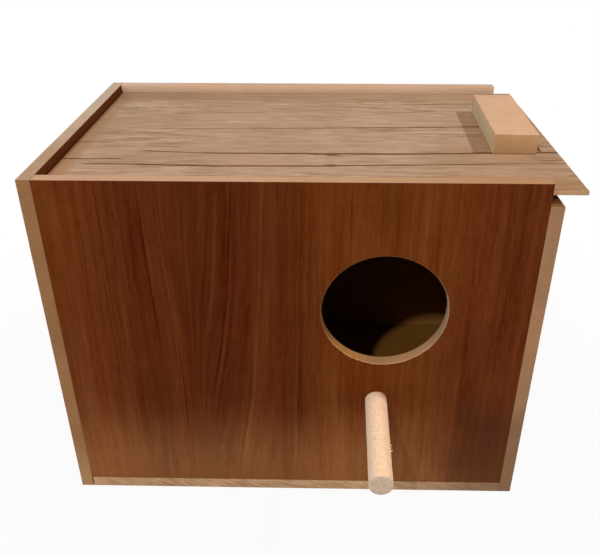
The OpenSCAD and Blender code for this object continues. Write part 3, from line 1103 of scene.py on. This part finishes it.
def splinter(mesh, tip, distance, angle, length, thick):
    """Adds one sliver that stands off the perch, thin and bent back at its end."""
    out = Vector((math.cos(math.radians(angle)), 0, math.sin(math.radians(angle))))
    root = tip + Vector((0, distance * MM, 0)) + out * (PERCH_RADIUS - 0.25 * MM)
    side = out.cross(Vector((0, 1, 0)))
    rings = []
    for share in (0.0, 0.35, 0.7, 1.0):
        width = thick * MM / 2 * (1.05 - share)
        middle = root + out * (length * share * MM) + Vector((0, length * share ** 2 * 0.6 * MM, 0))
        rings.append([mesh.verts.new(middle + side * width * a + Vector((0, width * b * 1.8, 0)))
                      for a, b in ((1, 0), (0, 1), (-1, 0), (0, -1))])
    skin(mesh, rings)


def lifted(distance, angle):
    """How far the perch's raised fibres stand off its side."""
    around = Vector((math.cos(angle) * 7, math.sin(angle) * 7, distance / MM * 0.3))
    fibre = noise.noise(around * 1.3) * 0.4 + noise.noise(around * 4.1) * 0.6
    tuft = max(0.0, noise.noise(Vector((around.x * 3, around.y * 3, around.z * 5))) - 0.35)
    return PERCH_FUZZ * (fibre * 0.7 + tuft * 2.4)


def perch_profile(length):
    """The perch's rings from its free end: distance, radius, and how much fibres lift there."""
    profile = [(0.0, (PERCH_RADIUS - PERCH_EDGE) * index / PERCH_END_RINGS, 0.4)
               for index in range(1, PERCH_END_RINGS)]
    for share in (0.0, 0.3, 0.7):
        bend = share * math.pi / 2
        profile.append((PERCH_EDGE * (1 - math.cos(bend)),
                        PERCH_RADIUS - PERCH_EDGE * (1 - math.sin(bend)), 0.7))
    count = int(length / PERCH_STEP)
    for index in range(count + 1):
        profile.append((PERCH_EDGE + (length - PERCH_EDGE) * index / count, PERCH_RADIUS, 1.0))
    return profile


def make_perch(materials):
    length = PERCH_OUT + BOARD
    tip = Vector((0, PERCH_HOLE.y - FRONT_LOW.y - length, 0))
    mesh = bmesh.new()
    rings = []
    for distance, radius, share in perch_profile(length):
        ring = []
        for index in range(PERCH_SIDES):
            angle = 2 * math.pi * index / PERCH_SIDES
            out = radius + (lifted(distance, angle) - PERCH_SANDED) * share
            depth = distance
            if distance < PERCH_EDGE:
                depth += PERCH_END_ROUGH * (1 + noise.noise(heading(angle) * radius * 2600))
            ring.append(mesh.verts.new(tip + Vector((
                math.cos(angle) * out, depth, math.sin(angle) * out))))
        rings.append(ring)
    skin(mesh, rings)
    for values in SPLINTERS:
        splinter(mesh, tip, *values)
    set_down(mesh, PERCH_HOLE, -PERCH_LEAN)
    piece = to_object("perch_dowel", mesh)
    piece.data.materials.append(materials["dowel"])
    smooth(piece, 50)
    settle(piece, "box", "raw_dowel", "perch")


def lamp(name, toward, distance, width, height, level, tint, glossy):
    """Area lamp. Level 1 lights a face that looks straight at it as bright as its colour."""
    direction = Vector(toward).normalized()
    data = bpy.data.lights.new(name, "AREA")
    data.shape = "ELLIPSE"
    data.size = width
    data.size_y = height
    data.energy = level * math.pi ** 2 * distance ** 2
    data.color = tint
    made = add_object(name, data)
    made.location = (cad_low + cad_high) / 2 + direction * distance
    made.rotation_mode = "QUATERNION"
    made.rotation_quaternion = (-direction).to_track_quat("-Z", "Y")
    made.visible_glossy = glossy


def make_world():
    """Faint warm light from all around, which the camera sees as white."""
    world = bpy.data.worlds.new("studio")
    bpy.context.scene.world = world
    net = Net(world)
    rays = net.add("ShaderNodeLightPath").outputs
    seen = net.math("MAXIMUM", rays["Is Camera Ray"], rays["Is Transmission Ray"])
    fill = net.add("ShaderNodeBackground", Color=WORLD_COLOUR, Strength=WORLD_FILL)
    white = net.add("ShaderNodeBackground", Color=WHITE, Strength=1.0)
    net.blend(seen, fill, white, "ShaderNodeOutputWorld")


def make_stage():
    """Pale floor that the camera sees near white, with the box's shadow on it."""
    mesh = bmesh.new()
    bmesh.ops.create_circle(mesh, cap_ends=True, segments=96, radius=STAGE_RADIUS)
    floor = to_object("stage_floor", mesh)
    floor.location.z = -STAGE_GAP
    net = Net(bpy.data.materials.new("stage_white"))
    diffuse = net.add("ShaderNodeBsdfDiffuse", Color=STAGE_GREY)
    glow = net.add("ShaderNodeEmission", Color=WHITE, Strength=1.0)
    distance = net.add("ShaderNodeVectorMath", {"operation": "LENGTH"})
    net.feed(distance.inputs[0], net.place())
    far = net.span(distance.outputs["Value"], STAGE_NEAR, STAGE_FAR, STAGE_GLOW, 1.0)
    camera = net.add("ShaderNodeLightPath").outputs["Is Camera Ray"]
    net.blend(net.product(far, camera), diffuse, glow, "ShaderNodeOutputMaterial")
    floor.data.materials.append(net.owner)


def make_camera():
    data = bpy.data.cameras.new("camera")
    data.sensor_width = SENSOR_WIDTH
    data.lens = FOCAL_PIXELS * SENSOR_WIDTH / FRAME_WIDTH
    data.shift_x = (FRAME_WIDTH / 2 - AXIS_PIXEL) / FRAME_WIDTH
    data.clip_start = 0.02
    camera = add_object("camera", data)
    camera.location = CAMERA_PLACE
    camera.rotation_euler = (math.pi / 2 - CAMERA_DOWN, 0.0, CAMERA_LEFT)
    bpy.context.scene.camera = camera


def main():
    bpy.context.scene.view_settings.view_transform = "Standard"
    make_camera()
    for values in LAMPS:
        lamp(*values)
    make_world()
    make_stage()
    materials = build_materials()
    make_front(materials)
    make_back(materials)
    make_side(materials, "left", LEFT_LOW, LEFT_HIGH, -1, "walnut_left_inner")
    make_side(materials, "right", RIGHT_LOW, RIGHT_HIGH, 1, "walnut_right")
    make_floor(materials)
    make_lid(materials)
    make_handle(materials)
    make_perch(materials)
    for name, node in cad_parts.items():
        if name.endswith("_brads"):
            node.data.materials.clear()
            node.data.materials.append(materials["steel"])


main()
